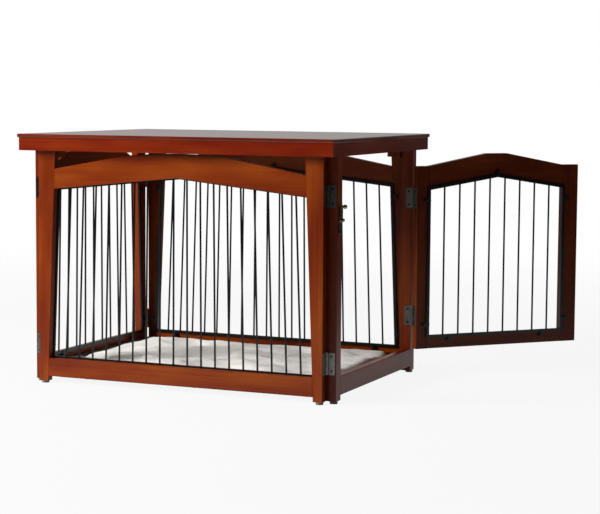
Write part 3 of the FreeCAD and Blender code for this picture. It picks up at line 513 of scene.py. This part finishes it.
@dataclass
class Hardware:
    """Grilles, clips, hinges, screws, latch and glides."""

    wire: Finish = PowderCoatedSteel("powder_coated_steel")
    clip: Finish = MouldedPlastic("moulded_black_nylon", "#0c0c0c", "#141415", 0.42)
    hinge: Finish = PlatedMetal("nickel_plated_steel", "#8f8d88", "#777570", 0.34)
    screw: Finish = PlatedMetal("zinc_plated_screw", "#4e4c49", "#383735", 0.4)
    latch: Finish = PlatedMetal("antique_brass_plate", "#c2b894", "#7a7056", 0.26)
    glide: Finish = MouldedPlastic("moulded_grey_nylon", "#7a7068", "#665d55", 0.5)

    def finish(self, node_name: str) -> Finish | None:
        """The finish of a metal or plastic piece.

        Args:
            node_name: The node's name, whose last word says what it is.

        Returns:
            The finish, or None for any other piece.
        """
        if node_name.startswith("latch"):
            return self.latch
        by_last_word = {"grille": self.wire, "clips": self.clip, "screws": self.screw,
                        "leaves": self.hinge, "pins": self.hinge, "pin": self.hinge,
                        "glides": self.glide}
        return by_last_word.get(node_name.split("_")[-1])

    def dress_all(self) -> None:
        """Give each metal or plastic piece its finish."""
        materials: dict[str, bpy.types.Material] = {}
        for name in sorted(frame["nodes"]):
            finish = self.finish(name)
            if finish is None:
                continue
            if finish.name not in materials:
                materials[finish.name] = finish.material()
            dress(name, materials[finish.name])


# ------------------------------------------------------------------ tray and pad
def finish_piece(mesh_data: bmesh.types.BMesh, name: str, body: str,
                 material: bpy.types.Material) -> bpy.types.Object:
    """Turn a bmesh into a smooth piece that rides on a body.

    Args:
        mesh_data: The finished mesh, in the frame's own place.
        name: The piece's name.
        body: The body that it rides on.
        material: Its material.

    Returns:
        The new object.
    """
    mesh = bpy.data.meshes.new(name)
    for face in mesh_data.faces:
        face.smooth = True
    mesh_data.to_mesh(mesh)
    mesh_data.free()
    piece = bpy.data.objects.new(name, mesh)
    bpy.context.scene.collection.objects.link(piece)
    mesh.materials.append(material)
    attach(piece, body)
    LOG.info("made %s with %d faces", name, len(mesh.polygons))
    return piece


@dataclass
class TrayAndPad:
    """The moulded floor tray and the fleece pad that lies in it."""

    tray: Finish = MouldedPlastic("vacuum_formed_black_polypropylene", "#0d0d0d", "#151516", 0.46,
                                  stipple=Pattern(length=1.4 * MM, detail=2.0, roughness=0.6))
    fleece: Finish = KnittedFleece("knitted_cream_fleece")
    corner: float = 24 * MM
    edge_round: float = 26 * MM
    seam_share: float = 0.42             # height of the seam within the pad's thickness
    fluff: float = 8 * MM                # how far the pile stands out past the pad's own solid
    rumple_height: float = 16 * MM
    rumple_length: float = 150 * MM
    rumple_narrower: float = 1.6         # the folds are this much closer from front to back
    rumple_fade: float = 2.0             # they reach their height this many edge rounds from the seam
    rumple_softness: float = 1.0         # how much lower the finer folds are
    rumple_step: float = 2.0             # how much finer each octave of folds is
    rumple_octaves: int = 3
    grid_step: float = 6 * MM
    merge_reach: float = 0.2 * MM

    def dress_tray(self) -> None:
        """Give the tray its moulded finish."""
        dress("floor_tray", self.tray.material())

    def make_pad(self) -> None:
        """Make the pad: a soft slab, rounded at its seam and rumpled on top."""
        low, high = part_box("floor_pad")
        middle = (low + high) / 2.0
        half = (high - low) / 2.0
        pad = self.flat_outline(half)
        lower = bmesh.ops.duplicate(pad, geom=pad.verts[:] + pad.edges[:] + pad.faces[:])["geom"]
        bmesh.ops.reverse_faces(pad, faces=[item for item in lower if isinstance(item, bmesh.types.BMFace)])
        below = {item for item in lower if isinstance(item, bmesh.types.BMVert)}
        seam = low.z + (high.z - low.z) * self.seam_share
        for vert in pad.verts:
            edge = self.from_edge(vert.co, half)
            full = self.height_share(edge)
            if vert in below:
                vert.co.z = seam + (low.z - seam) * full
            else:
                wave = self.rumple(vert.co) * min(edge / (self.rumple_fade * self.edge_round), 1.0)
                vert.co.z = min(seam + (high.z - seam) * full + wave, high.z + self.fluff)
            vert.co.x += middle.x
            vert.co.y += middle.y
        bmesh.ops.remove_doubles(pad, verts=pad.verts, dist=self.merge_reach)
        piece = finish_piece(pad, "pad_fleece", "floor_pad", self.fleece.material())
        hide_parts("floor_pad")

    def flat_outline(self, half: Vector) -> bmesh.types.BMesh:
        """Lay out the pad as a flat grid with round corners.

        Args:
            half: Half sizes of the pad.

        Returns:
            The grid, centred and at no height.
        """
        counts = [max(2, round(2.0 * side / self.grid_step)) for side in (half.x, half.y)]
        pad = bmesh.new()
        bmesh.ops.create_grid(pad, x_segments=counts[0], y_segments=counts[1], size=1.0)
        bmesh.ops.scale(pad, vec=(half.x, half.y, 1.0), verts=pad.verts)
        for vert in pad.verts:
            vert.co = self.into_corner(vert.co, half)
        return pad

    def corner_centre(self, half: Vector) -> Vector:
        """The centre of the pad's round corner, from the middle of the pad."""
        return Vector((half.x - self.corner, half.y - self.corner))

    def into_corner(self, point: Vector, half: Vector) -> Vector:
        """Draw a point of the flat grid in so that the outline has round corners.

        Args:
            point: A point of the grid, centred on the pad.
            half: Half sizes of the pad.

        Returns:
            The point inside the rounded outline.
        """
        centre = self.corner_centre(half)
        over = Vector((abs(point.x) - centre.x, abs(point.y) - centre.y))
        if over.x <= 0.0 or over.y <= 0.0:
            return point
        drawn = over.normalized() * max(over.x, over.y)
        return Vector((math.copysign(centre.x + drawn.x, point.x),
                       math.copysign(centre.y + drawn.y, point.y), point.z))

    def from_edge(self, point: Vector, half: Vector) -> float:
        """Distance of a point from the pad's rounded outline.

        Args:
            point: A point of the grid, centred on the pad.
            half: Half sizes of the pad.

        Returns:
            The distance in metres, measured inwards.
        """
        centre = self.corner_centre(half)
        over = Vector((max(abs(point.x) - centre.x, 0.0), max(abs(point.y) - centre.y, 0.0)))
        if over.x > 0.0 and over.y > 0.0:
            return self.corner - over.length
        if over.length > 0.0:
            return self.corner - max(over.x, over.y)
        return min(half.x - abs(point.x), half.y - abs(point.y))

    def height_share(self, from_edge: float) -> float:
        """How full the pad is at a distance from its seam, as a quarter round then flat."""
        share = min(max(from_edge / self.edge_round, 0.0), 1.0)
        return math.sqrt(1.0 - (1.0 - share) ** 2)

    def rumple(self, point: Vector) -> float:
        """Height of the soft folds at a point."""
        place = Vector((point.x, point.y * self.rumple_narrower, 0.0)) / self.rumple_length
        folds = noise.fractal(place, self.rumple_softness, self.rumple_step, self.rumple_octaves)
        return folds * self.rumple_height


# ------------------------------------------------------------------ studio
@dataclass(frozen=True)
class Lamp:
    """One square soft lamp, aimed at the middle of the crate."""

    name: str
    offset: tuple[float, float, float]   # from that middle, in metres
    side: float
    watts: float


@dataclass
class Studio:
    """A plain pale floor, a large soft lamp from the front left with two weak ones, and the camera.

    The camera's place is measured from the front left corner of the crate, on the floor. Lengths
    are in metres, and the lens and its sensor are in millimetres.
    """

    camera_from_corner: tuple[float, float, float] = (2.2711, -3.6931, 0.7196)
    turned_left: float = 23.146
    tipped_down: float = 5.408
    rolled: float = 0.389
    focal_length: float = 105.907
    sensor_width: float = 36.0
    camera_reach: float = 60.0
    floor_half: float = 14.0
    floor_glow: float = 0.90             # how much of the near floor is seen as plain white
    floor_near: float = 1.1              # from here on the floor fades to plain white
    floor_far: float = 4.0
    paper: float = 0.6                   # how much light the floor sends back
    mirrored_near: float = 0.7           # the lacquer mirrors the floor whole up to here
    mirrored_far: float = 2.4
    mirrored_glow: float = 0.55          # how pale that near floor looks in the lacquer
    fill: float = 0.012                  # what the surroundings add to every face
    pale_wall: tuple[float, float, float] = (-0.8, 0.6, 0.0)   # which way it lies: back and left
    wall_edge: float = 0.2               # cosines from that way where the wall ends and is full
    wall_full: float = 0.9
    wall_mirrored: float = 0.62          # that wall, as the lacquer mirrors it
    dark_mirrored: float = 0.02          # the rest of the surroundings
    lamps: tuple[Lamp, ...] = (Lamp("key", (-3.3, -3.0, 1.62), 1.7, 385.0),
                               Lamp("overhead", (-0.8, -0.2, 3.0), 2.4, 5.0),
                               Lamp("back_right", (2.2, 3.0, 0.9), 1.6, 38.0))

    def corner(self) -> Vector:
        """The front left corner of the crate, on the floor."""
        low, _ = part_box("front_left_stile")
        return Vector((low.x, low.y, 0.0))

    def make_camera(self) -> None:
        """Set the camera at the picture's place."""
        yaw, pitch, roll = [math.radians(angle)
                            for angle in (self.turned_left, self.tipped_down, self.rolled)]
        ahead = Vector((-math.sin(yaw) * math.cos(pitch), math.cos(yaw) * math.cos(pitch),
                        -math.sin(pitch)))
        level = Vector((math.cos(yaw), math.sin(yaw), 0.0))
        upward = level.cross(ahead)
        right = level * math.cos(roll) + upward * math.sin(roll)
        upright = upward * math.cos(roll) - level * math.sin(roll)
        lens = bpy.data.cameras.new("camera")
        lens.lens = self.focal_length
        lens.sensor_fit = "HORIZONTAL"
        lens.sensor_width = self.sensor_width
        lens.clip_end = self.camera_reach
        camera = bpy.data.objects.new("camera", lens)
        turn = Matrix((right, upright, -ahead)).transposed().to_4x4()
        place = self.corner() + Vector(self.camera_from_corner)
        camera.matrix_world = Matrix.Translation(place) @ turn
        bpy.context.scene.collection.objects.link(camera)
        bpy.context.scene.camera = camera

    def mirrored_ray(self, tree: bpy.types.NodeTree) -> bpy.types.NodeSocket:
        """One for reflected and refracted rays."""
        path = add_node(tree, "ShaderNodeLightPath")
        bounced = add_node(tree, "ShaderNodeMath",
                           links={0: path.outputs["Is Glossy Ray"], 1: path.outputs["Is Transmission Ray"]},
                           operation="MAXIMUM")
        return bounced.outputs[0]

    def floor_material(self) -> bpy.types.Material:
        """White paper under the crate that fades to plain white, and to dusk in the lacquer.

        Returns:
            The material, which takes the crate's shadow.
        """
        material, tree = new_material("matt_white_paper")
        place = add_node(tree, "ShaderNodeTexCoord")
        away = add_node(tree, "ShaderNodeVectorMath", links={0: place.outputs["Object"]},
                        operation="LENGTH")
        whiter = add_node(tree, "ShaderNodeMapRange",
                          {"From Min": self.floor_near, "From Max": self.floor_far,
                           "To Min": self.floor_glow, "To Max": 1.0},
                          {"Value": away.outputs["Value"]}, interpolation_type="SMOOTHSTEP")
        further = add_node(tree, "ShaderNodeMapRange",
                           {"From Min": self.mirrored_near, "From Max": self.mirrored_far},
                           {"Value": away.outputs["Value"]}, interpolation_type="SMOOTHSTEP")
        nearer = add_node(tree, "ShaderNodeMath", {0: 1.0}, {1: further.outputs["Result"]},
                          operation="SUBTRACT")
        mirrored = self.mirrored_ray(tree)
        camera_ray = add_node(tree, "ShaderNodeLightPath").outputs["Is Camera Ray"]
        unlit, sheen, seen_white = [
            add_node(tree, "ShaderNodeMath", links={0: share, 1: ray}, operation="MULTIPLY").outputs[0]
            for share, ray in ((further.outputs["Result"], mirrored), (nearer.outputs[0], mirrored),
                               (whiter.outputs["Result"], camera_ray))]
        white = add_node(tree, "ShaderNodeMath", {1: self.mirrored_glow}, {0: sheen, 2: seen_white},
                         operation="MULTIPLY_ADD")
        paper = add_node(tree, "ShaderNodeBsdfDiffuse", {"Color": grey(self.paper)})
        dusk = add_node(tree, "ShaderNodeEmission", {"Color": WHITE, "Strength": self.dark_mirrored})
        glow = add_node(tree, "ShaderNodeEmission", {"Color": WHITE, "Strength": 1.0})
        lit = add_node(tree, "ShaderNodeMixShader",
                       links={0: unlit, 1: paper.outputs[0], 2: dusk.outputs[0]})
        seen = add_node(tree, "ShaderNodeMixShader",
                        links={0: white.outputs[0], 1: lit.outputs[0], 2: glow.outputs[0]})
        add_node(tree, "ShaderNodeOutputMaterial", links={"Surface": seen.outputs[0]})
        return material

    def make_floor(self) -> None:
        """Lay a pale floor that keeps the crate's shadow."""
        floor = bmesh.new()
        bmesh.ops.create_grid(floor, x_segments=1, y_segments=1, size=self.floor_half)
        mesh = bpy.data.meshes.new("floor")
        floor.to_mesh(mesh)
        floor.free()
        mesh.materials.append(self.floor_material())
        stage = bpy.data.objects.new("floor", mesh)
        bpy.context.scene.collection.objects.link(stage)
        stage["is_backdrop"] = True

    def make_world(self) -> None:
        """Dim surroundings, white behind the crate, with a pale wall for the lacquer to mirror."""
        world = bpy.data.worlds.new("studio")
        bpy.context.scene.world = world
        world.use_nodes = True
        tree = world.node_tree
        tree.nodes.clear()
        way = add_node(tree, "ShaderNodeTexCoord")
        facing = add_node(tree, "ShaderNodeVectorMath", {1: self.pale_wall},
                          {0: way.outputs["Generated"]}, operation="DOT_PRODUCT")
        wall = add_node(tree, "ShaderNodeMapRange",
                        {"From Min": self.wall_edge, "From Max": self.wall_full,
                         "To Min": self.dark_mirrored, "To Max": self.wall_mirrored},
                        {"Value": facing.outputs["Value"]})
        room = add_node(tree, "ShaderNodeBackground", {"Color": WHITE},
                        {"Strength": wall.outputs["Result"]})
        dim = add_node(tree, "ShaderNodeBackground", {"Color": WHITE, "Strength": self.fill})
        white = add_node(tree, "ShaderNodeBackground", {"Color": WHITE, "Strength": 1.0})
        camera_ray = add_node(tree, "ShaderNodeLightPath").outputs["Is Camera Ray"]
        unseen = add_node(tree, "ShaderNodeMixShader",
                          links={0: self.mirrored_ray(tree), 1: dim.outputs[0], 2: room.outputs[0]})
        seen = add_node(tree, "ShaderNodeMixShader",
                        links={0: camera_ray, 1: unseen.outputs[0], 2: white.outputs[0]})
        add_node(tree, "ShaderNodeOutputWorld", links={"Surface": seen.outputs[0]})

    def hang(self, lamp: Lamp, middle: Vector) -> None:
        """Hang one lamp, whose own glare the lacquer doesn't show.

        Args:
            lamp: The lamp.
            middle: The middle of the crate, which it faces.
        """
        light = bpy.data.lights.new(lamp.name, "AREA")
        light.shape = "SQUARE"
        light.size = lamp.side
        light.energy = lamp.watts
        place = middle + Vector(lamp.offset)
        facing = (middle - place).to_track_quat("-Z", "Y")
        holder = bpy.data.objects.new(lamp.name, light)
        holder.matrix_world = Matrix.Translation(place) @ facing.to_matrix().to_4x4()
        holder.visible_glossy = False
        bpy.context.scene.collection.objects.link(holder)

    def make_lamps(self) -> None:
        """Hang the lamps."""
        low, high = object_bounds()
        middle = (Vector(low) + Vector(high)) / 2.0
        for lamp in self.lamps:
            self.hang(lamp, middle)

    def set_view(self) -> None:
        """Show colours as they are written."""
        bpy.context.scene.view_settings.view_transform = "Standard"


# ------------------------------------------------------------------ all of it
def main() -> None:
    """Build the looks in order."""
    logging.basicConfig(level=logging.INFO, format="%(name)s: %(message)s")
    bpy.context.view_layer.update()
    Timber().dress_all()
    Hardware().dress_all()
    soft = TrayAndPad()
    soft.dress_tray()
    soft.make_pad()
    studio = Studio()
    studio.make_lamps()
    studio.make_floor()
    studio.make_world()
    studio.make_camera()
    studio.set_view()


if __name__ == "__main__":
    main()
